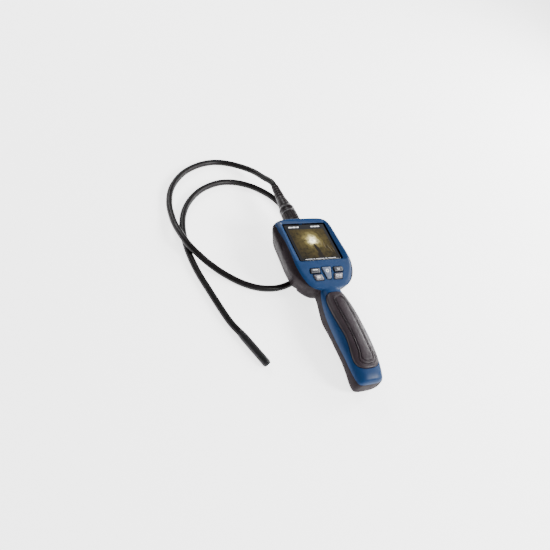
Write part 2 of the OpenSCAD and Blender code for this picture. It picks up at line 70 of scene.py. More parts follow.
class Mat:
    """A node material with one Principled shader."""

    def __init__(self, name, color, rough=0.5, metal=0.0, **sockets):
        self.m = bpy.data.materials.new(name)
        self.m.use_nodes = True
        self.tree = self.m.node_tree
        self.bsdf = self.tree.nodes["Principled BSDF"]
        self.set("Base Color", (*color, 1))
        self.set("Roughness", rough)
        self.set("Metallic", metal)
        for k, v in sockets.items():
            self.set(k.replace("_", " "), v)
        self.m.diffuse_color = (*color, 1)
        self.color = color
        self._place = None
        self._normal = None

    def set(self, socket, value):
        self.bsdf.inputs[socket].default_value = value

    def node(self, kind, **values):
        n = self.tree.nodes.new(kind)
        for k, v in values.items():
            if hasattr(n, k) and k not in n.inputs:
                setattr(n, k, v)
            else:
                n.inputs[k.replace("_", " ")].default_value = v
        return n

    def link(self, a, b):
        self.tree.links.new(a, b)

    def place(self):
        if self._place is None:
            self._place = self.node("ShaderNodeTexCoord").outputs["Object"]
        return self._place

    def noise(self, scale, detail=3.0, rough=0.55, vector=None):
        n = self.node("ShaderNodeTexNoise", Scale=scale, Detail=detail, Roughness=rough)
        self.link(vector or self.place(), n.inputs["Vector"])
        return n.outputs["Fac"]

    def ramp(self, fac, stops, mode="LINEAR"):
        r = self.node("ShaderNodeValToRGB")
        r.color_ramp.interpolation = mode
        while len(r.color_ramp.elements) < len(stops):
            r.color_ramp.elements.new(0.5)
        for e, (at, col) in zip(r.color_ramp.elements, stops):
            e.position = at
            e.color = (*col, 1) if hasattr(col, "__len__") else (col, col, col, 1)
        self.link(fac, r.inputs["Fac"])
        return r.outputs["Color"]

    def math(self, op, a, b=None, clamp=False):
        n = self.node("ShaderNodeMath", operation=op, use_clamp=clamp)
        for i, v in enumerate((a, b)):
            if v is None:
                continue
            if isinstance(v, (int, float)):
                n.inputs[i].default_value = v
            else:
                self.link(v, n.inputs[i])
        return n.outputs[0]

    def mix(self, fac, a, b, blend="MIX"):
        n = self.node("ShaderNodeMix", data_type="RGBA", blend_type=blend)
        for i, v in ((0, fac), (6, a), (7, b)):
            if hasattr(v, "is_linked"):
                self.link(v, n.inputs[i])
            elif i == 0:
                n.inputs[0].default_value = v
            else:
                n.inputs[i].default_value = (*v, 1)
        return n.outputs[2]

    def vary(self, scale=60, amount=0.12, rough_amount=0.08):
        """Soft unevenness of colour and gloss."""
        f = self.noise(scale, 4)
        lo = tuple(c * (1 - amount) for c in self.color)
        hi = tuple(min(1, c * (1 + amount)) for c in self.color)
        self.link(self.ramp(f, [(0.3, lo), (0.7, hi)]), self.bsdf.inputs["Base Color"])
        r = self.bsdf.inputs["Roughness"].default_value
        g = self.noise(scale * 3.1, 3)
        self.link(self.ramp(g, [(0.3, max(0, r - rough_amount)), (0.7, min(1, r + rough_amount))]),
                  self.bsdf.inputs["Roughness"])
        return self

    def bump(self, height, strength=0.2, distance=0.0002):
        b = self.node("ShaderNodeBump", Strength=strength, Distance=distance)
        self.link(height, b.inputs["Height"])
        if self._normal is not None:
            self.link(self._normal, b.inputs["Normal"])
        self._normal = b.outputs["Normal"]
        self.link(self._normal, self.bsdf.inputs["Normal"])
        return self

    def grain(self, scale, strength=0.2, distance=0.0002, detail=2.0):
        return self.bump(self.noise(scale, detail), strength, distance)


def leather(m, scale, strength, distance):
    """Fine cells, as on soft-touch mouldings."""
    v = m.node("ShaderNodeTexVoronoi", Scale=scale)
    m.link(m.place(), v.inputs["Vector"])
    return m.bump(v.outputs["Distance"], strength, distance)


BLUE = Mat("blue_moulding", (0.004, 0.0265, 0.088), 0.4, Specular_IOR_Level=0.14)
BLUE.vary(45, 0.1, 0.06).grain(2600, 0.25, 0.00006)
RUBBER = Mat("rubberised_moulding", (0.0145, 0.0098, 0.0122), 0.5, Specular_IOR_Level=0.05)
leather(RUBBER.vary(50, 0.16, 0.08), 2300, 0.3, 0.00012)
PAD = Mat("grip_rubber", (0.021, 0.0135, 0.018), 0.4, Specular_IOR_Level=0.24)
leather(PAD.vary(70, 0.15, 0.08), 1700, 0.4, 0.00015)
BLACK = Mat("black_moulding", (0.01, 0.0085, 0.01), 0.4, Specular_IOR_Level=0.18)
BLACK.vary(80, 0.15, 0.1).grain(1800, 0.2, 0.0001)
COLLAR = Mat("collar_moulding", (0.0105, 0.007, 0.0085), 0.36, Specular_IOR_Level=0.2)
COLLAR.vary(90, 0.15, 0.1).grain(1500, 0.25, 0.0001)
SHEATH = Mat("cable_sheath", (0.0065, 0.0055, 0.006), 0.4, Specular_IOR_Level=0.15)
SHEATH.vary(120, 0.2, 0.1).grain(2200, 0.25, 0.0001)
LIGHT_RING = Mat("light_ring", (0.085, 0.085, 0.09), 0.3)
LIGHT_RING.vary(200, 0.06, 0.06)
METAL = Mat("dark_anodised", (0.014, 0.0135, 0.015), 0.4, 0.3, Specular_IOR_Level=0.25)
METAL.vary(160, 0.12, 0.08).grain(900, 0.12, 0.00005)
STEEL = Mat("plated_steel", (0.55, 0.55, 0.56), 0.3, 1.0)
STEEL.vary(300, 0.08, 0.1).grain(1500, 0.12, 0.00004)
GOLD = Mat("gold_plate", (0.83, 0.6, 0.22), 0.25, 1.0)
GOLD.vary(400, 0.06, 0.08)
BOARD = Mat("solder_mask", (0.012, 0.12, 0.05), 0.4, Coat_Weight=0.3)
BOARD.vary(500, 0.25, 0.1).grain(700, 0.15, 0.0001)
CHIP = Mat("chip_moulding", (0.025, 0.025, 0.028), 0.5)
CHIP.vary(400, 0.15, 0.1).grain(2500, 0.25, 0.00005)
SILICONE = Mat("keypad_silicone", (0.03, 0.03, 0.033), 0.6)
SILICONE.vary(150, 0.1, 0.08).grain(900, 0.15, 0.0001)
GREY = Mat("button_grey", (0.085, 0.08, 0.097), 0.42)
GREY.vary(200, 0.08, 0.06).grain(2400, 0.2, 0.00006)
DARK_GREY = Mat("button_dark", (0.016, 0.017, 0.025), 0.44)
DARK_GREY.vary(200, 0.1, 0.06).grain(2400, 0.2, 0.00006)
POWER_GREY = Mat("button_power_grey", (0.075, 0.095, 0.148), 0.4)
POWER_GREY.vary(200, 0.08, 0.06).grain(2400, 0.2, 0.00006)
MARK = Mat("white_print", (0.82, 0.83, 0.85), 0.5)
MARK.vary(900, 0.05, 0.05)
INSULATOR = Mat("insulator", (0.55, 0.5, 0.4), 0.5)
INSULATOR.vary(300, 0.08, 0.08)
WIRE = Mat("red_wire", (0.42, 0.02, 0.02), 0.4)
WIRE.vary(300, 0.1, 0.08)
CELL = Mat("cell_wrap", (0.35, 0.3, 0.12), 0.3, 0.5)
CELL.vary(60, 0.2, 0.08)
LED = Mat("led_cap", (0.9, 0.88, 0.72), 0.25, Coat_Weight=0.4)
LED.vary(900, 0.06, 0.05)
LENS = Mat("lens_barrel", (0.03, 0.03, 0.035), 0.3, 0.4)
LENS.vary(600, 0.1, 0.08)
TIP_GLASS = Mat("tip_glass", (0.75, 0.8, 0.85), 0.05, Transmission_Weight=0.9, IOR=1.45)
TIP_GLASS.vary(300, 0.03, 0.02)
GLASS = Mat("window_black", (0.006, 0.006, 0.008), 0.09, Coat_Weight=0.5, Coat_Roughness=0.04)
GLASS.grain(90, 0.04, 0.0003)


def picture_material():
    """The lit picture: inside of a pipe with a bright middle and a root growing in from below."""
    m = Mat("lit_picture", (0.1, 0.08, 0.03), 0.1, Coat_Weight=0.3, Coat_Roughness=0.04)
    sep = m.node("ShaderNodeSeparateXYZ")
    m.link(m.place(), sep.inputs[0])
    x = m.math("SUBTRACT", sep.outputs["X"], 0.0018)
    y = m.math("SUBTRACT", sep.outputs["Y"], 0.0718)
    wob = m.math("MULTIPLY", m.math("SUBTRACT", m.noise(70, 2), 0.5), 0.009)
    wob2 = m.math("MULTIPLY", m.math("SUBTRACT", m.noise(90, 2), 0.5), 0.007)
    xx, yy = m.math("ADD", x, wob), m.math("ADD", y, wob2)
    d = m.math("SQRT", m.math("ADD", m.math("MULTIPLY", xx, xx), m.math("MULTIPLY", yy, yy)))
    glow = m.ramp(m.math("MULTIPLY", d, 28.0), [
        (0.0, (1.0, 0.96, 0.76)), (0.09, (0.8, 0.75, 0.5)), (0.17, (0.3, 0.26, 0.12)),
        (0.27, (0.07, 0.056, 0.018)), (0.42, (0.026, 0.0195, 0.005)), (0.7, (0.015, 0.0105, 0.0025)),
        (1.0, (0.007, 0.005, 0.0015))])
    mottle = m.ramp(m.noise(200, 5, 0.7), [(0.34, 0.16), (0.5, 0.72), (0.68, 1.1)])
    wall = m.mix(0.9, glow, mottle, "MULTIPLY")
    # The root: a narrow shape under the glow that leans and widens downwards
    lean = m.math("ADD", m.math("MULTIPLY", y, 0.03), m.math("MULTIPLY", wob, 0.9))
    off = m.math("ABSOLUTE", m.math("ADD", x, lean))
    width = m.math("ADD", 0.0012, m.math("MULTIPLY", y, -0.11))
    side = m.math("DIVIDE", off, width)
    below = m.ramp(m.math("MULTIPLY", y, -60.0), [(0.3, 0.0), (0.42, 1.0)])
    root = m.math("MULTIPLY", m.ramp(side, [(0.6, 1.0), (1.0, 0.0)]), below)
    col = m.mix(root, wall, (0.003, 0.002, 0.0012))
    # Pale streaks on the right of the root
    w = m.node("ShaderNodeTexWave", Scale=70.0, Distortion=6.0, Detail=2.0)
    m.link(m.place(), w.inputs["Vector"])
    right = m.ramp(m.math("MULTIPLY", m.math("ADD", x, m.math("MULTIPLY", y, 0.9)), 90.0),
                   [(0.0, 0.0), (0.15, 1.0), (0.6, 1.0), (1.0, 0.0)])
    low = m.ramp(m.math("MULTIPLY", y, -45.0), [(0.0, 0.0), (0.2, 1.0), (0.8, 1.0), (1.0, 0.0)])
    streak = m.math("MULTIPLY", m.ramp(w.outputs["Fac"], [(0.62, 0.0), (0.95, 0.5)]),
                    m.math("MULTIPLY", right, low))
    col = m.mix(streak, col, (0.05, 0.04, 0.025))
    m.link(col, m.bsdf.inputs["Emission Color"])
    m.set("Emission Strength", 5.0)
    m.link(m.mix(1.0, col, (0.3, 0.3, 0.3), "MULTIPLY"), m.bsdf.inputs["Base Color"])
    return m


PICTURE = picture_material()

# ----------------------------------------------------------- curves, tables


def smooth(table, x, c):
    """Smooth interpolation of column c in a table whose first column is the position."""
    n = len(table)
    i = 0
    while i < n - 2 and x > table[i + 1][0]:
        i += 1

    def slope(k):
        a, b = max(k - 1, 0), min(k + 1, n - 1)
        return (table[b][c] - table[a][c]) / (table[b][0] - table[a][0])

    h = table[i + 1][0] - table[i][0]
    u = (x - table[i][0]) / h
    u2, u3 = u * u, u * u * u
    return ((2 * u3 - 3 * u2 + 1) * table[i][c] + (u3 - 2 * u2 + u) * slope(i) * h
            + (3 * u2 - 2 * u3) * table[i + 1][c] + (u3 - u2) * slope(i + 1) * h)


def curve(points, n):
    """Catmull-Rom curve with n steps in each stretch."""
    last = len(points) - 1
    out = []
    for i in range(last):
        p0, p1, p2, p3 = (points[max(0, min(last, i + k))] for k in (-1, 0, 1, 2))
        for k in range(n):
            u = k / n
            out.append(tuple(0.5 * (2 * b + (c - a) * u + (2 * a - 5 * b + 4 * c - d) * u * u
                                    + (3 * b - a - 3 * c + d) * u ** 3)
                             for a, b, c, d in zip(p0, p1, p2, p3)))
    out.append(tuple(points[-1]))
    return out


def mirrored(half):
    return half + [(-x, y) for x, y in half[-2:0:-1]]


def rounded(corners, r, steps=6):
    """Closed outline through corners, each rounded with about radius r."""
    out = []
    n = len(corners)
    for i in range(n):
        a, p, b = (Vector(corners[(i + k) % n]).to_2d() for k in (-1, 0, 1))
        u, v = (a - p), (b - p)
        reach_a, reach_b = min(r, u.length * 0.48), min(r, v.length * 0.48)
        start, stop = p + u.normalized() * reach_a, p + v.normalized() * reach_b
        for k in range(steps + 1):
            t = k / steps
            q = start * (1 - t) ** 2 + p * 2 * t * (1 - t) + stop * t * t
            out.append((q.x, q.y))
    return out


def inset(outline, d):
    """Each point of a closed outline, anticlockwise, moved inwards by d."""
    out = []
    n = len(outline)
    for i, p in enumerate(outline):
        a, b = Vector(outline[i - 1]), Vector(outline[(i + 1) % n])
        t = (b - a).normalized()
        out.append((p[0] - t.y * d, p[1] + t.x * d))
    return out


def box_outline(x0, y0, x1, y1, r, steps=6):
    return rounded([(x0, y0), (x1, y0), (x1, y1), (x0, y1)], r, steps)


# ------------------------------------------------------------------ meshes


def mesh_object(name, verts, faces, smooth_angle=35, mat=None):
    data = bpy.data.meshes.new(name)
    data.from_pydata([(v[0] * MM, v[1] * MM, v[2] * MM) for v in verts], [], faces)
    ob = bpy.data.objects.new(name, data)
    bpy.context.scene.collection.objects.link(ob)
    finish_mesh(ob, smooth_angle)
    if mat is not None:
        data.materials.append(mat.m)
    return ob


def finish_mesh(ob, smooth_angle=35):
    bm = bmesh.new()
    bm.from_mesh(ob.data)
    bmesh.ops.recalc_face_normals(bm, faces=bm.faces)
    bm.to_mesh(ob.data)
    bm.free()
    ob.data.shade_smooth()
    if smooth_angle is not None:
        ob.data.set_sharp_from_angle(angle=math.radians(smooth_angle))


def stack(rings, cap_start=True, cap_end=True, ladder_end=False):
    """Vertices and faces of a closed skin through equal rings of points."""
    n = len(rings[0])
    verts = [p for r in rings for p in r]
    faces = []
    for j in range(len(rings) - 1):
        for i in range(n):
            a, b = j * n + i, j * n + (i + 1) % n
            faces.append((a, b, b + n, a + n))
    if cap_start:
        faces.append(tuple(range(n - 1, -1, -1)))
    last = (len(rings) - 1) * n
    if cap_end and not ladder_end:
        faces.append(tuple(last + i for i in range(n)))
    if ladder_end:
        half = n // 2
        faces.append((last, last + 1, last + n - 1))
        faces.append((last + half - 1, last + half, last + half + 1))
        for i in range(1, half - 1):
            faces.append((last + i, last + i + 1, last + n - i - 1, last + n - i))
    return verts, faces


def place_mesh(ob, matrix):
    ob.data.transform(matrix)
    return ob


def along_y(x, y, z):
    """Turns a mesh built along +Z to run along +Y from a point in millimetres."""
    return Matrix.Translation((x * MM, y * MM, z * MM)) @ Matrix.Rotation(math.radians(-90), 4, "X")


def lathe(name, profile, mat, sides=96, wave=None, smooth_angle=35):
    """Closed ring or solid turned from (height, radius) points; wave changes the radius."""
    rings = []
    for h, r in profile:
        ring = []
        for i in range(sides):
            a = 2 * math.pi * i / sides
            q = r if wave is None else wave(h, r, a)
            ring.append((q * math.cos(a), q * math.sin(a), h))
        rings.append(ring)
    closed = profile[0] == profile[-1]
    verts, faces = stack(rings[:-1] if closed else rings, not closed, not closed)
    if closed:
        n, m = sides, len(rings) - 1
        for i in range(n):
            a, b = (m - 1) * n + i, (m - 1) * n + (i + 1) % n
            faces.append((a, b, (i + 1) % n, i))
    return mesh_object(name, verts, faces, smooth_angle, mat)


def prism(name, outline, z0, z1, mat=None, edge=0.0, edge_low=0.0, smooth_angle=35):
    """Solid on an anticlockwise outline, with rounded upper and lower edges."""
    levels = [(0, z0)]
    if edge_low:
        levels = [(edge_low * (1 - math.sin(math.radians(30 * k))),
                   z0 + edge_low * (1 - math.cos(math.radians(30 * k)))) for k in range(4)]
    if edge:
        levels += [(edge * (1 - math.cos(math.radians(30 * k))),
                    z1 - edge * (1 - math.sin(math.radians(30 * k)))) for k in range(4)]
    else:
        levels += [(0, z1)]
    rings = [[(x, y, z) for x, y in inset(outline, d)] for d, z in levels]
    verts, faces = stack(rings)
    return mesh_object(name, verts, faces, smooth_angle, mat)


def cut(ob, others, op="DIFFERENCE"):
    """Applies a boolean with each of the others, which are then dropped."""
    for other in others:
        md = ob.modifiers.new("cut", "BOOLEAN")
        md.operation, md.solver, md.object = op, "MANIFOLD", other
    bpy.context.view_layer.update()
    done = bpy.data.meshes.new_from_object(ob.evaluated_get(bpy.context.evaluated_depsgraph_get()))
    ob.modifiers.clear()
    old, ob.data = ob.data, done
    done.name = ob.name
    bpy.data.meshes.remove(old)
    for other in others:
        if other.users:
            data = other.data
            bpy.data.objects.remove(other)
            if data.users == 0:
                bpy.data.meshes.remove(data)
    return ob


def copy_of(ob, name):
    new = bpy.data.objects.new(name, ob.data.copy())
    bpy.context.scene.collection.objects.link(new)
    return new


def drop(*obs):
    for ob in obs:
        data = ob.data
        bpy.data.objects.remove(ob)
        bpy.data.meshes.remove(data)


def remesh(ob, voxel, rounds):
    """Rebuilds a mesh on a grid of voxels and smooths it, which blends its creases."""
    md = ob.modifiers.new("remesh", "REMESH")
    md.mode, md.voxel_size = "VOXEL", voxel * MM
    sm = ob.modifiers.new("smooth", "SMOOTH")
    sm.factor, sm.iterations = 0.5, rounds
    return cut(ob, [])


# ------------------------------------------------------------------- cable

# The cable's middle line from the strain relief to the camera head's ferrule
CABLE_R = 4.0
LOW = CABLE_R + 0.05
ROUTE = [(0, 184, 27), (-0.6, 195, 25.8), (-4.6, 208.8, 20.4), (-11.3, 229.2, 13.4),
         (-26.3, 245.3, 8.2), (-44.6, 255.1, 4.9), (-64.6, 256.1, LOW), (-88.6, 248.5, LOW),
         (-113.6, 232.3, LOW), (-134.6, 207.3, LOW), (-145.6, 180.3, LOW), (-149.5, 154.3, 5.6),
         (-150.4, 134.9, 8.8), (-148.5, 115.5, 11.9), (-144.3, 100.3, 12.5), (-136.2, 87.2, 10.6),
         (-125.6, 75.3, 7), (-111.3, 60.7, 4.6), (-93.6, 45.6, LOW), (-74.4, 35.7, LOW),
         (-53, 32.5, LOW), (-32.4, 36.3, LOW), (-12.6, 45.8, LOW), (6.9, 63.3, LOW),
         (19.9, 89.3, LOW), (23.4, 121.3, LOW), (18.4, 155.3, LOW), (8.4, 183.3, LOW),
         (-5.6, 199.6, LOW), (-23.6, 211.3, LOW), (-46.1, 217.1, LOW), (-70.6, 214.3, LOW),
         (-98.6, 200.3, LOW), (-122.6, 176.3, LOW), (-137.6, 147.3, LOW), (-144.1, 111.3, LOW),
         (-143.2, 73.3, LOW), (-136.4, 35.3, LOW), (-127.7, -4.8, 4.3), (-120, -24, 4.7)]
CAMERA_TURN = math.radians(201)
CAMERA_WAY = Vector((-math.sin(CAMERA_TURN), math.cos(CAMERA_TURN), 0))
EXIT_Z = 27


def make_cable():
    line = [Vector(p) for p in curve(ROUTE, 24)]
    run = [0.0]
    for a, b in zip(line, line[1:]):
        run.append(run[-1] + (b - a).length)
    total = run[-1]
    count = round(total / 3.0)
    centres, i = [], 0
    for k in range(count + 1):
        s = total * k / count
        while i < len(run) - 2 and run[i + 1] < s:
            i += 1
        u = (s - run[i]) / (run[i + 1] - run[i])
        centres.append(line[i].lerp(line[i + 1], min(1, u)))
    sides = 28
    rings = []
    for k, p in enumerate(centres):
        if k == 0:
            t = Vector((0, 1, 0))
        elif k == count:
            t = CAMERA_WAY
        else:
            t = (centres[k + 1] - centres[k - 1]).normalized()
        side = t.cross(Vector((0, 0, 1))).normalized()
        up = side.cross(t)
        rings.append([tuple(p + CABLE_R * (math.cos(a) * side + math.sin(a) * up))
                      for a in (2 * math.pi * i / sides for i in range(sides))])
    verts, faces = stack(rings)
    ob = mesh_object("probe_cable_sheath", verts, faces, None, SHEATH)
    return ob, [tuple(p * MM) for p in centres], total * MM


cable, cable_path, cable_length = make_cable()
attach(cable, "handset")
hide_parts("probe_cable")

# ----------------------------------------------------------- housing shape

WALL = 2.2
BELLY_Z, RIM_Z, WINDOW_Z = 8.3, 47, 44
HEAD_END_Y, HEEL_Y = 109.5, -121
SLOPE_TOP_Y, SLOPE = 36.8, 0.28
HEAD_OUTLINE = [(0, HEAD_END_Y), (18, HEAD_END_Y), (31, 108.6), (38.5, 105), (42, 97), (43, 84),
                (44, 66), (45, 48), (44.2, 34), (40.8, 22), (34, 12), (25, 5), (13, 2), (0, 1.4)]
HEAD_LEVELS = [(0, 14.2), (0.03, 11.5), (0.08, 9.6), (0.163, 8), (0.372, 5), (0.54, 2.2), (0.665, 0.6),
               (0.749, 0), (0.874, 1.6), (0.948, 4.2), (1, 7)]
FRONT_SHARE, END_SHARE = 0.749, 0.5
# Place along Y, half width, bottom, top, and how square the lower half is
HANDLE = [(HEEL_Y, 15, 4.6, 25.5, 2.8), (-119.4, 17.4, 1.4, 28, 2.7), (-115, 19, 0, 30.5, 2.6),
          (-109, 19.9, 1.6, 32.4, 2.6), (-100, 20.6, 5, 34.6, 2.6), (-88, 21, 7.6, 36.8, 2.6),
          (-68, 21.3, 8.2, 38.9, 2.6), (-48, 20.9, 8, 39.4, 2.8), (-30, 19.7, 8, 39, 4),
          (-14, 17.4, 10, 38.2, 4), (-2, 15.6, 12, 37.6, 4), (12, 15, 13, 37.6, 4)]
UPPER_SQUARENESS = 2.9
# Where the halves meet: on the outside, and behind the rear half's lip
SEAM = [(-130, 20), (-121, 21.5), (-112, 22.8), (-100, 24.2), (-88, 25.4), (-44, 25.6), (-14, 27.5),
        (0, 31.5), (5, 36), (10, 38), (19, 40.6), (30, 43.5), (42, 45.5), (64, 45.6), (78, 44.8),
        (92, 43.2), (104, 41.5), (130, 41.5)]
INNER_SEAM = [(-130, 20), (-121, 21.5), (-112, 22.8), (-100, 24.2), (-88, 25.4), (-44, 25.6),
              (-14, 26.8), (0, 31), (5, 34), (12, 36), (22, 37.5), (36, 38.6), (98, 38.6), (130, 38.6)]
LIP = 1.1


def front_z(y):
    if y > SLOPE_TOP_Y + 3:
        return RIM_Z
    if y > SLOPE_TOP_Y - 3:
        return RIM_Z - SLOPE * (SLOPE_TOP_Y + 3 - y) ** 2 / 12
    return RIM_Z - SLOPE * (SLOPE_TOP_Y - y)


def head_point(p, share, d=0.0):
    """Where a point of the widest outline lies at a share of the head's height."""
    level = max(0, smooth(HEAD_LEVELS, share, 1))
    x = p[0] * (1 - (level + d) / 45)
    y = 55 + (p[1] - 55) * (1 - (END_SHARE * level + d) / 54)
    low, high = BELLY_Z + d, RIM_Z - d
    drop = (RIM_Z - front_z(y)) * max(0, share - FRONT_SHARE) / (1 - FRONT_SHARE)
    return x, y, low + share * (high - low) - drop


def head_skin(d=0.0, fine=10, levels=56):
    outline = mirrored(curve(HEAD_OUTLINE, fine))
    rings = [[head_point(p, k / levels, d) for p in outline] for k in range(levels + 1)]
    return mesh_object("head", *stack(rings, ladder_end=True), None)


def handle_top(x, y):
    w, low, high = (smooth(HANDLE, y, c) for c in (1, 2, 3))
    mid, h = (low + high) / 2, (high - low) / 2
    e = UPPER_SQUARENESS
    return mid + h * max(0, 1 - (abs(x) / w) ** e) ** (1 / e)


def handle_skin(d=0.0, sides=120, step=1.5, start=None):
    start = HEEL_Y + d if start is None else start
    stops = [start + 0.4 * k for k in range(12)]
    while stops[-1] < 12:
        stops.append(min(12, stops[-1] + step))
    rings = []
    for y in stops:
        w, low, high, lower = (smooth(HANDLE, y, c) for c in (1, 2, 3, 4))
        w, low, high = w - d, low + d, high - d
        mid, h = (low + high) / 2, (high - low) / 2
        ring = []
        for i in range(sides):
            a = 2 * math.pi * i / sides
            e = lower if math.sin(a) < 0 else UPPER_SQUARENESS
            cx, sz = math.cos(a), math.sin(a)
            ring.append((w * math.copysign(abs(cx) ** (2 / e), cx), y,
                         mid + h * math.copysign(abs(sz) ** (2 / e), sz)))
        rings.append(ring)
    if d == 0:
        first = rings[0]
        mid = sum(p[2] for p in first) / sides
        domes = [[(p[0] * k, HEEL_Y - out, mid + (p[2] - mid) * k) for p in first]
                 for k, out in ((0.3, 1.1), (0.6, 0.95), (0.8, 0.7), (0.93, 0.35))]
        rings = domes + rings
    return mesh_object("handle", *stack(rings), None)


def above(seam, shift, reach):
    line = [(-135 + 2.0 * k, smooth(seam, max(-130, min(130, -135 + 2.0 * k)), 1) + shift)
            for k in range(136)]
    side = line + [(135, 80 + reach), (-135, 80 + reach)]
    rings = [[(x, y, z) for y, z in side] for x in (-70 - reach, 70 + reach)]
    return mesh_object("above", *stack(rings), None)


def above_parting(shift):
    inner = cut(head_skin(LIP + shift, 6, 28), [handle_skin(LIP + shift, 64, 3)], "UNION")
    cut(inner, [above(INNER_SEAM, shift, 0)], "INTERSECT")
    return cut(above(SEAM, shift, 1), [inner], "UNION")


def tube_between(points, r, sides=10):
    rings = []
    pts = [Vector(p) for p in points]
    for k, p in enumerate(pts):
        t = (pts[min(k + 1, len(pts) - 1)] - pts[max(k - 1, 0)]).normalized()
        side = t.cross(Vector((0, 0, 1))).normalized()
        up = side.cross(t)
        rings.append([tuple(p + r * (math.cos(a) * side + math.sin(a) * up))
                      for a in (2 * math.pi * i / sides for i in range(sides))])
    return mesh_object("groove", *stack(rings), None)


def cylinder(x, y, z0, z1, r, sides=48):
    turns = [2 * math.pi * i / sides for i in range(sides)]
    rings = [[(x + r * math.cos(a), y + r * math.sin(a), z) for a in turns] for z in (z0, z1)]
    return mesh_object("cylinder", *stack(rings), None)


def cylinder_y(y0, y1, r, sides=64):
    return place_mesh(cylinder(0, 0, 0, y1 - y0, r, sides), along_y(0, y0, EXIT_Z))


def cylinder_x(x0, x1, y, z, r, sides=32):
    turn = Matrix.Translation((x0 * MM, y * MM, z * MM)) @ Matrix.Rotation(math.radians(90), 4, "Y")
    return place_mesh(cylinder(0, 0, 0, x1 - x0, r, sides), turn)


def block(x0, x1, y0, y1, z0, z1):
    return prism("block", [(x0, y0), (x1, y0), (x1, y1), (x0, y1)], z0, z1, None)


# The keypad's own frame
KEYPAD_Y = 20
KEYPAD_Z = RIM_Z - SLOPE * (SLOPE_TOP_Y - KEYPAD_Y)
TILT = math.atan(SLOPE)
ON_KEYPAD = Matrix.Translation((0, KEYPAD_Y * MM, KEYPAD_Z * MM)) @ Matrix.Rotation(TILT, 4, "X")

UPPER = rounded([(10.2, 1.3), (23.2, 1.6), (22.6, 7.4), (10.3, 7.4)], 1.2)
LOWER = rounded([(7.3, -7.9), (18.6, -7.9), (20.9, -0.7), (9.3, -0.9)], 1.2)
POWER = rounded([(-2.9, -7.2), (2.9, -7.2), (6.7, 8.2), (-6.7, 8.2)], 1.5)


def flipped(outline):
    return [(-x, y) for x, y in reversed(outline)]


BUTTONS = {"button_left_upper": (flipped(UPPER), DARK_GREY),
           "button_left_lower": (flipped(LOWER), GREY),
           "button_power": (POWER, POWER_GREY),
           "button_right_upper": (UPPER, DARK_GREY),
           "button_right_lower": (LOWER, GREY)}

PAD_OUTLINE = [(0, -5), (8.6, -6), (13.2, -11), (15.2, -22), (15.8, -36), (15.4, -52),
               (14.6, -64), (15, -76), (16.2, -88), (16, -97), (13, -103.5), (7, -106.8),
               (0, -107.4)]
# Anticlockwise from the middle of the heel end
PAD_RING = list(reversed(mirrored(curve(PAD_OUTLINE, 16))))


def loft(name, outline, levels, mat=None, smooth_angle=35):
    """Closed solid through copies of an anticlockwise outline: (inset, height) each."""
    rings = [[(x, y, z) for x, y in inset(outline, d)] for d, z in levels]
    return mesh_object(name, *stack(rings), smooth_angle, mat)


SCREWS = [(-26, 99), (26, 99), (-30, 24), (30, 24), (0, 7)]
DOOR_Y = (-96, -28.5)
DOOR_W = 11
DOOR_Z = 10.3


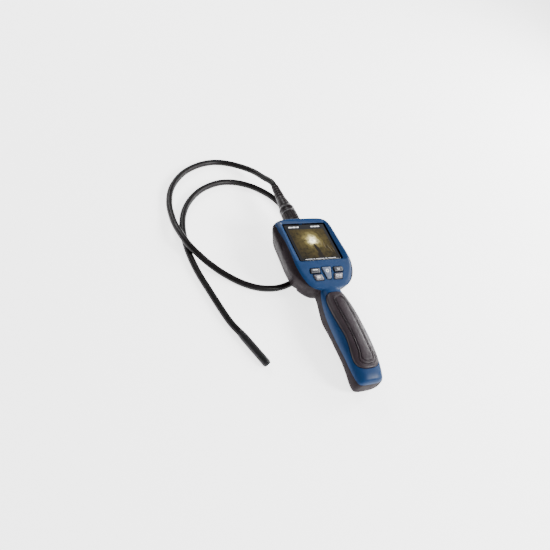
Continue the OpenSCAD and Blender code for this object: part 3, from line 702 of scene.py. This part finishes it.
def make_housing():
    body = cut(head_skin(), [handle_skin()], "UNION")
    remesh(body, 0.75, 8)
    hollow = cut(head_skin(WALL, 4, 24), [handle_skin(WALL, 48, 4)], "UNION")
    keep = [cylinder(x, y, 0, 30.8, 4.2) for x, y in SCREWS]
    for x0, x1 in ((DOOR_W + 0.3, DOOR_W + 3.3), (-DOOR_W - 3.3, -DOOR_W - 0.3)):
        keep.append(block(x0, x1, DOOR_Y[1] - 2.5, DOOR_Y[1] + 2.5, 8.3, 13.7))
    keep.append(cylinder_y(HEAD_END_Y - 9, HEAD_END_Y + 0.2, 12))
    cut(hollow, keep)

    # Front half
    front = copy_of(body, "housing_front")
    cut(front, [above_parting(0.12)], "INTERSECT")
    cut(front, [copy_of(hollow, "hollow")])
    low = box_outline(-29.8, 40.1, 29.8, 98.5, 1.6)
    rim = rounded([(-37.6, 36.2), (37.6, 36.2), (36.4, 103), (-36.4, 103)], 6)
    steep = [(b[0] * 2 - a[0], b[1] * 2 - a[1]) for a, b in zip(low, rim)]
    dish = mesh_object("dish", *stack([[(x, y, z) for x, y in o] for o, z in
                                       ((low, WINDOW_Z), (rim, RIM_Z), (steep, RIM_Z + 3))]), None)
    pocket = prism("pocket", box_outline(-29.7, 40.2, 29.7, 98.4, 1.3), WINDOW_Z - 1.7, WINDOW_Z + 2)
    wells = [place_mesh(loft("well", outline, [(-0.95, -7), (-0.95, -0.4), (-1.35, 0.05), (-2.0, 0.7)]),
                        ON_KEYPAD) for outline, _ in BUTTONS.values()]
    seat = prism("seat", inset(PAD_RING, -0.85), 20, 60)
    cut(seat, [handle_skin(1.1, 96, 2.5, -118)])
    grooves = []
    outline = curve(HEAD_OUTLINE, 10)
    for share, y0, y1 in ((0.806, 60, 103.5), (0.853, 66, 103), (0.9, 72, 102)):
        for side in (-1, 1):
            run = [head_point((side * p[0], p[1]), share) for p in outline
                   if p[0] > 30 and y0 < p[1] < y1]
            grooves.append(tube_between(run, 0.7))
    cut(front, [dish])
    cut(front, [pocket, seat] + wells + [copy_of(g, "groove") for g in grooves])

    # Rear half
    rear = copy_of(body, "housing_rear")
    cut(rear, [cylinder_y(HEAD_END_Y - 6, HEAD_END_Y + 0.2, 12)], "UNION")
    cut(rear, [above_parting(-0.12), copy_of(hollow, "hollow")] + grooves)
    holes = [cylinder(x, y, -1, 18, 3.2) for x, y in SCREWS]
    holes += [cylinder(x, y, 10, 32, 1.6) for x, y in SCREWS]
    holes.append(prism("door_space", box_outline(-11.3, -96.3, 11.3, -26.2, 1.9), -2, 14))
    holes.append(cylinder_x(-13.3, 13.3, DOOR_Y[1], DOOR_Z, 0.65))
    holes.append(cylinder_y(HEAD_END_Y - 12, HEAD_END_Y + 2, 7))
    holes.append(cylinder_y(HEAD_END_Y - 0.6, HEAD_END_Y + 1, 8.9))
    cut(rear, holes)

    # Battery door, cut from the same skin
    door = cut(copy_of(body, "battery_door_panel"),
               [prism("panel", box_outline(-DOOR_W, DOOR_Y[0], DOOR_W, DOOR_Y[1] - 0.6, 1.7), -2, 13)],
               "INTERSECT")
    cut(door, [handle_skin(WALL, 96, 2.5, -118)])
    ridges = [tube_between([(x, DOOR_Y[0] + 5 + 2.2 * k, smooth(HANDLE, DOOR_Y[0] + 5 + 2.2 * k, 2) - 0.05)
                            for x in (-5, -2.5, 0, 2.5, 5)], 0.5) for k in range(4)]
    cut(door, [cylinder_x(-DOOR_W, DOOR_W, DOOR_Y[1], DOOR_Z, 1.5),
               cylinder_x(-DOOR_W - 1.8, DOOR_W + 1.8, DOOR_Y[1], DOOR_Z, 0.6)], "UNION")
    cut(door, ridges)
    drop(body, hollow)
    for ob, mat in ((front, BLUE), (rear, RUBBER), (door, RUBBER)):
        ob.data.materials.clear()
        ob.data.materials.append(mat.m)
        finish_mesh(ob, 38)
    return front, rear, door


def own(ob, body, *nodes, slot=None):
    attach(ob, body)
    if nodes:
        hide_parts(*nodes)
    return ob


front, rear, door = make_housing()
own(front, "handset", "front_shell", slot="blue_plastic")
own(rear, "handset", "rear_shell", slot="dark_rubberised_plastic")
own(door, "battery_door", "battery_door", slot="dark_rubberised_plastic")

# ------------------------------------------------------- window and picture

WINDOW_T = 1.6
window = prism("window_plate", box_outline(-29.5, 40.4, 29.5, 98.2, 1.1), WINDOW_Z - WINDOW_T,
               WINDOW_Z, GLASS, 0.35)
own(window, "handset", "window", slot="window_glass")
picture = prism("lit_picture", box_outline(-25.7, 43.6, 25.7, 90.4, 0.4), WINDOW_Z - 0.05,
                WINDOW_Z + 0.03, PICTURE)
own(picture, "handset", slot="display")


def bars(name, spans, y, height, lean, z=WINDOW_Z):
    """A row of leaning bars: (start, end, share of the height) each."""
    verts, faces = [], []
    for x0, x1, share in spans:
        h = height * share
        base = len(verts)
        corners = [(x0, y), (x1, y), (x1 + lean * h, y + h), (x0 + lean * h, y + h)]
        v, f = stack([[(x, yy, level) for x, yy in corners] for level in (z - 0.02, z + 0.03)])
        verts += v
        faces += [tuple(base + i for i in face) for face in f]
    return mesh_object(name, verts, faces, 35, MARK)


own(bars("window_mark_left", [(-24, -20.6, 1), (-20, -18.4, 0.8), (-17.8, -14.2, 1), (-13.6, -12.4, 0.8),
                              (-11.8, -9.2, 1)], 93.1, 2.0, 0.25), "handset", slot="display")
own(bars("window_mark_right", [(8.6, 11.4, 1), (11.9, 13.2, 1), (13.7, 17.4, 1), (17.9, 21.6, 1)],
         93.4, 1.8, 0.2), "handset", slot="display")
own(bars("window_mark_low", [(-22, -12, 1), (-11, -8.6, 1), (-7.4, 4.6, 1), (5.8, 9, 1), (10.2, 22, 1)],
         41.7, 0.55, 0), "handset", slot="display")

# ----------------------------------------------------------------- buttons

for node_name, (outline, mat) in BUTTONS.items():
    key = loft(node_name + "_key", outline, [(-0.5, -3.2), (-0.5, -2.6), (0, -2.6), (0, 0.7),
                                             (0.12, 0.95), (0.36, 1.14), (0.75, 1.2)], mat)
    own(place_mesh(key, ON_KEYPAD), node_name, node_name, slot="grey_plastic")


def icon(name, body, loops):
    """Raised marks on a button: (outline, hole or None) pairs in the keypad's frame."""
    verts, faces = [], []
    for outer, hole in loops:
        base = len(verts)
        n = len(outer)
        if hole is None:
            v, f = stack([[(x, y, z) for x, y in outer] for z in (1.1, 1.26)])
        else:
            v = [(x, y, z) for ring, z in ((outer, 1.1), (outer, 1.26), (hole, 1.26), (hole, 1.1))
                 for x, y in ring]
            f = [(j * n + i, j * n + (i + 1) % n, (j + 1) % 4 * n + (i + 1) % n, (j + 1) % 4 * n + i)
                 for j in range(4) for i in range(n)]
        verts += v
        faces += [tuple(base + i for i in face) for face in f]
    own(place_mesh(mesh_object(name, verts, faces, 35, MARK), ON_KEYPAD), body, slot="grey_plastic")


def round_outline(x, y, r, n=40):
    return [(x + r * math.cos(2 * math.pi * i / n), y + r * math.sin(2 * math.pi * i / n))
            for i in range(n)]


def frame_loops(x, y, w, h, t):
    return (box_outline(x - w / 2, y - h / 2, x + w / 2, y + h / 2, 0.4),
            box_outline(x - w / 2 + t, y - h / 2 + t, x + w / 2 - t, y + h / 2 - t, 0.2))


icon("power_ring", "button_power", [(round_outline(0, 3.0, 2.15), round_outline(0, 3.0, 1.35))])
icon("left_upper_bar", "button_left_upper", [(box_outline(-20, 4.9, -13, 5.8, 0.3), None)])
icon("right_upper_dots", "button_right_upper", [
    (round_outline(15.4, 4.6, 0.6, 20), None), (round_outline(17.6, 4.6, 0.6, 20), None),
    (box_outline(15.0, 3.0, 18.0, 3.5, 0.15), None)])
icon("left_lower_marks", "button_left_lower", [
    frame_loops(-14.8, -4.2, 4.4, 3.0, 0.5), ([(-15.8, -5.0), (-13.8, -5.0), (-14.8, -3.4)], None)])
icon("right_lower_marks", "button_right_lower", [
    frame_loops(12.2, -4.2, 3.6, 2.6, 0.45),
    (round_outline(16.6, -4.2, 1.3, 32), round_outline(16.6, -4.2, 0.8, 32))])

# ---------------------------------------------------------------- grip pad

# Share of the way from the pad's edge to its spine, and rise above the handle there
PAD_RISE = [(0, -1.1), (0.0, 0.2), (0.006, 0.65), (0.02, 1.05), (0.045, 1.35), (0.08, 1.52), (0.14, 1.62),
            (0.25, 1.68), (0.36, 1.68), (0.415, 1.66), (0.425, 1.5), (0.435, 1.0), (0.48, 0.98),
            (0.49, 1.5), (0.5, 1.92), (0.515, 2.0), (0.555, 2.0), (0.565, 1.9), (0.575, 1.4),
            (0.61, 1.4), (0.62, 2.0), (0.635, 2.4), (0.66, 2.5), (0.75, 2.62), (0.88, 2.7),
            (0.97, 2.74)]
# The same for the lower end, where the steps come closer together
PAD_STEPS = [(0, -1.1), (0.0, 0.2), (0.006, 0.65), (0.02, 0.98), (0.04, 1.12), (0.07, 1.2), (0.12, 1.22),
             (0.17, 1.22), (0.22, 1.22), (0.235, 1.2), (0.245, 1.0), (0.26, 0.7), (0.3, 0.7),
             (0.31, 1.1), (0.33, 1.62), (0.35, 1.7), (0.43, 1.72), (0.45, 1.7), (0.46, 1.2),
             (0.52, 1.2), (0.53, 1.7), (0.55, 2.1), (0.58, 2.2), (0.7, 2.35), (0.85, 2.5),
             (0.97, 2.6)]


def make_pad():
    rings = []
    for (t, side_rise), (t_end, end_rise) in zip(PAD_RISE, PAD_STEPS):
        ring = []
        for x, y in PAD_RING:
            end = max(0.0, min(1.0, (-y - 88) / 12))
            start = max(0.0, min(1.0, (y + 24) / 12))
            u = t * (1 - end) + t_end * end
            rise = side_rise * (1 - end) + end_rise * end
            plain = min(side_rise, 1.7 + u)
            rise = rise * (1 - start) + plain * start
            spine = max(-92.0, min(-20.0, y))
            px, py = x * (1 - u), y + (spine - y) * u
            ring.append((px, py, handle_top(px, py) + rise))
        rings.append(ring)
    inner = rings[-1]
    rings.append([(x * 0.4, y, handle_top(x * 0.4, y) + 2.72) for x, y, z in inner])
    # The rings alone; then the underside and the seam along the spine are closed
    verts, faces = stack(rings, False, False)
    n = len(PAD_RING)
    half = n // 2
    for base, turn in ((0, -1), ((len(rings) - 1) * n, 1)):
        faces.append((base, base + 1, base + n - 1)[::turn])
        faces.append((base + half - 1, base + half, base + half + 1)[::turn])
        for i in range(1, half - 1):
            faces.append((base + i, base + i + 1, base + n - i - 1, base + n - i)[::turn])
    return mesh_object("grip_pad_moulding", verts, faces, 40, PAD)


pad = make_pad()
own(pad, "handset", "grip_pad", slot="soft_grip")
crest = [(x, y, handle_top(x, y) + 1.7 + 0.4 * (1 - abs(x) / 7))
         for x, y in curve([(-7, -14.5), (-3.5, -12.6), (0, -12.1), (3.5, -12.6), (7, -14.5)], 8)]
crescent = tube_between(crest, 0.7, 14)
crescent.name = "grip_pad_crescent"
crescent.data.materials.append(PAD.m)
own(crescent, "handset", slot="soft_grip")

# ------------------------------------------------------ socket, plug, relief

SOCKET_R, BORE_R, COLLAR_R = 8.0, 5.2, 10.3
# Where each turned piece starts along the exit
SOCKET_Y, COLLAR_Y, BAND_Y, PLUG_Y, RELIEF_Y, RELIEF_L = 98.6, 114.3, 132.5, 114, 158, 26


def on_exit(ob, y):
    return place_mesh(ob, along_y(0, y, EXIT_Z))


socket = lathe("socket_moulding", [
    (0, BORE_R), (22.2, BORE_R), (22.4, 5.4), (22.4, 7.7), (22.1, SOCKET_R), (15.4, SOCKET_R),
    (15.2, 8.2), (15.2, 10.5), (15.05, 10.85), (14.7, 11), (11.6, 11), (11.3, 10.85), (11.2, 10.5),
    (11.2, 6.9), (0, 6.9), (0, BORE_R)], BLACK, 128)
own(on_exit(socket, SOCKET_Y), "handset", "probe_socket", slot="black_parts")


def flutes(h, r, a):
    """The collar's radius with twelve shallow round flutes."""
    step = math.pi / 6
    s = abs((a + step / 2) % step - step / 2) * r
    deep = max(0.0, math.sqrt(max(0, 1.69 - s * s)) - 0.7) if s < 1.3 else 0.0
    fade = max(0.0, min(1.0, (h - 3.6) / 1.0, (16.4 - h) / 1.0))
    return r - deep * math.sqrt(fade) if r > COLLAR_R - 0.8 else r


def grooved(h0, h1, r, every, width, deep):
    """Profile points of a straight length with fine turned grooves."""
    out = [(h0, r)]
    h = h0 + every
    while h + width < h1:
        out += [(h, r), (h + width * 0.2, r - deep), (h + width * 0.8, r - deep), (h + width, r)]
        h += every
    return out + [(h1, r)]


COLLAR_L = 30.7
collar = lathe("coupling_collar_moulding", [
    (0, 8.07), (0, COLLAR_R - 0.9), (0.12, COLLAR_R - 0.6), (0.5, COLLAR_R - 0.2), (0.8, COLLAR_R),
    (1.6, COLLAR_R), (1.7, COLLAR_R - 0.3), (2.3, COLLAR_R - 0.3), (2.4, COLLAR_R)]
    + [(3.4 + 0.35 * k, COLLAR_R) for k in range(39)]
    + [(17.2, COLLAR_R), (17.9, COLLAR_R - 0.5), (19.7, COLLAR_R - 0.5), (20.4, COLLAR_R - 0.05)]
    + grooved(20.9, 26.2, COLLAR_R - 0.25, 1.3, 0.5, 0.28)
    + [(26.8, COLLAR_R - 0.6), (30.3, COLLAR_R - 1.75), (30.6, COLLAR_R - 1.95),
       (COLLAR_L, COLLAR_R - 2.2), (COLLAR_L, 7.07), (26, 7.07), (26, 8.07), (0, 8.07)],
    COLLAR, 240, flutes)
own(on_exit(collar, COLLAR_Y), "coupling_collar", "coupling_collar", slot="collar_plastic")
band = lathe("coupling_collar_band", [
    (0, COLLAR_R - 0.6), (0, COLLAR_R - 0.42), (0.15, COLLAR_R - 0.28), (1.15, COLLAR_R - 0.28),
    (1.3, COLLAR_R - 0.42), (1.3, COLLAR_R - 0.6), (0, COLLAR_R - 0.6)], LIGHT_RING, 128)
own(on_exit(band, BAND_Y), "coupling_collar", slot="collar_plastic")

plug = lathe("plug_moulding", [
    (0, 0.4), (0, 4.7), (0.4, 5.1), (7.3, 5.1), (7.3, 7.7), (7.6, SOCKET_R), (24.0, SOCKET_R),
    (24.3, 7.7), (24.3, 7), (31.6, 7), (31.6, 7.9), (31.9, 8.3), (32.4, 8.3), (33.4, 8.15),
    (33.6, 7.85), (34.2, 7.8), (34.4, 8.0), (36.6, 7.65), (36.8, 7.35), (37.4, 7.3), (37.6, 7.5),
    (39.8, 7.15), (40.0, 6.85), (40.6, 6.8), (40.8, 7.0), (43.4, 6.55), (43.9, 6.3), (44, 6.0),
    (44, 0.4)], COLLAR, 128)
own(on_exit(plug, PLUG_Y), "handset", "plug_body", slot="black_parts")


def relief_profile():
    """Tapered sleeve with five slots round it."""
    out = [(0, 4.1), (0, 6.0), (0.3, 6.3)]
    for k in range(5):
        h = 4.5 + 4 * k
        r0, r1 = 6.3 - (h - 0.1) / 17, 6.3 - (h + 1.3) / 17
        deep = 5.4 - 0.22 * k
        out += [(h - 0.4, r0 + 0.02), (h - 0.1, r0 - 0.12), (h, deep + 0.1), (h + 0.1, deep),
                (h + 1.1, deep), (h + 1.2, deep + 0.1), (h + 1.3, r1 - 0.12), (h + 1.6, r1 + 0.02)]
    return out + [(RELIEF_L - 0.6, 4.8), (RELIEF_L - 0.2, 4.7), (RELIEF_L, 4.5), (RELIEF_L, 4.1)]


relief = lathe("strain_relief_sleeve", relief_profile() + [(0, 4.1)], COLLAR, 96)
own(on_exit(relief, RELIEF_Y), "handset", "strain_relief", slot="black_parts")

# ------------------------------------------------------------- camera head

CAMERA_R, CAMERA_L, FERRULE_L = 4.7, 40.0, 6.0
ON_CAMERA = (Matrix.Translation((-120 * MM, -24 * MM, CAMERA_R * MM))
             @ Matrix.Rotation(CAMERA_TURN, 4, "Z") @ Matrix.Rotation(math.radians(-90), 4, "X"))
TIP = FERRULE_L + CAMERA_L

ferrule = lathe("camera_ferrule_turned", [
    (0, 0.5), (0, 4.1), (0.2, 4.26), (1.6, 4.34), (1.75, 4.2), (2.3, 4.22), (2.45, 4.4),
    (3.7, 4.46), (3.85, 4.32), (4.4, 4.36), (4.55, 4.52), (5.8, 4.6), (6, 4.5), (6, 0.5)],
    METAL, 96)
tube = lathe("camera_housing_turned", [
    (FERRULE_L, 4.1), (FERRULE_L, 4.4), (FERRULE_L + 0.3, CAMERA_R), (12, CAMERA_R),
    (12.15, 4.56), (12.75, 4.56), (12.9, CAMERA_R)]
    + grooved(TIP - 12, TIP - 6.5, CAMERA_R, 1.1, 0.4, 0.16)
    + [(TIP - 0.9, CAMERA_R), (TIP - 0.25, 4.45), (TIP, 4.25), (TIP, 4.1), (FERRULE_L, 4.1)],
    METAL, 128)
tip_ring = lathe("tip_ring_turned", [
    (TIP, 3.5), (TIP, 4.2), (TIP + 0.9, 4.2), (TIP + 1.25, 4.08), (TIP + 1.4, 3.8), (TIP + 1.4, 3.6),
    (TIP + 1.1, 3.5), (TIP, 3.5)], METAL, 96)
for ob, node_name in ((ferrule, "camera_ferrule"), (tube, "camera_housing"), (tip_ring, "tip_ring")):
    own(place_mesh(ob, ON_CAMERA), "handset", node_name, slot="dark_metal")

# ------------------------------------------------ finishes of the CAD pieces

CAD_FINISHES = {
    "window_gasket": SILICONE, "lcd_panel": GLASS, "lcd_frame": STEEL, "main_board": BOARD,
    "board_components": CHIP, "keypad_board": BOARD, "keypad_mat": SILICONE, "battery_tray": BLACK,
    "battery_cells": CELL, "battery_springs": STEEL, "battery_contacts": STEEL,
    "housing_screws": STEEL, "socket_insert": INSULATOR, "socket_pins": GOLD,
    "socket_seal": SILICONE, "socket_nut": STEEL, "probe_wires": WIRE, "battery_wires": WIRE,
    "plug_contacts": GOLD, "camera_seal": SILICONE, "image_sensor": BOARD, "camera_lens": LENS,
    "led_ring": LED, "tip_window": TIP_GLASS}
for node_name, mat in CAD_FINISHES.items():
    data = NODES[node_name].data
    data.materials.clear()
    data.materials.append(mat.m)

# ------------------------------------------------------- floor, light, world


def make_floor():
    verts, faces = stack([[(x, y, z) for x, y in box_outline(-3000, -3000, 3000, 3000, 200)]
                          for z in (-4, -0.02)])
    m = Mat("floor_paper", (0.92, 0.92, 0.92), 0.9)
    m.set("Specular IOR Level", 0.0)
    m.set("Emission Color", (1, 1, 1, 1))
    m.set("Emission Strength", 2.6)
    m.grain(400, 0.02, 0.0001)
    mesh_object("floor", verts, faces, 35, m)


def area_light(name, at, aim, power):
    data = bpy.data.lights.new(name, "AREA")
    data.shape, data.size, data.energy = "DISK", 0.6, power
    ob = bpy.data.objects.new(name, data)
    bpy.context.scene.collection.objects.link(ob)
    way = Vector(aim) - Vector(at)
    ob.matrix_world = Matrix.Translation(at) @ way.to_track_quat("-Z", "Y").to_matrix().to_4x4()


make_floor()
area_light("key", (1.05, -0.85, 1.0), (0, 0, 0.02), 50)
area_light("side", (1.15, 0.3, 0.65), (0, 0, 0.02), 22)
area_light("rim", (-0.35, 1.3, 0.9), (0, 0.08, 0.02), 14)
world = bpy.data.worlds.new("studio")
bpy.context.scene.world = world
world.use_nodes = True
world.node_tree.nodes["Background"].inputs["Color"].default_value = (1, 1, 1, 1)
world.node_tree.nodes["Background"].inputs["Strength"].default_value = 0.4
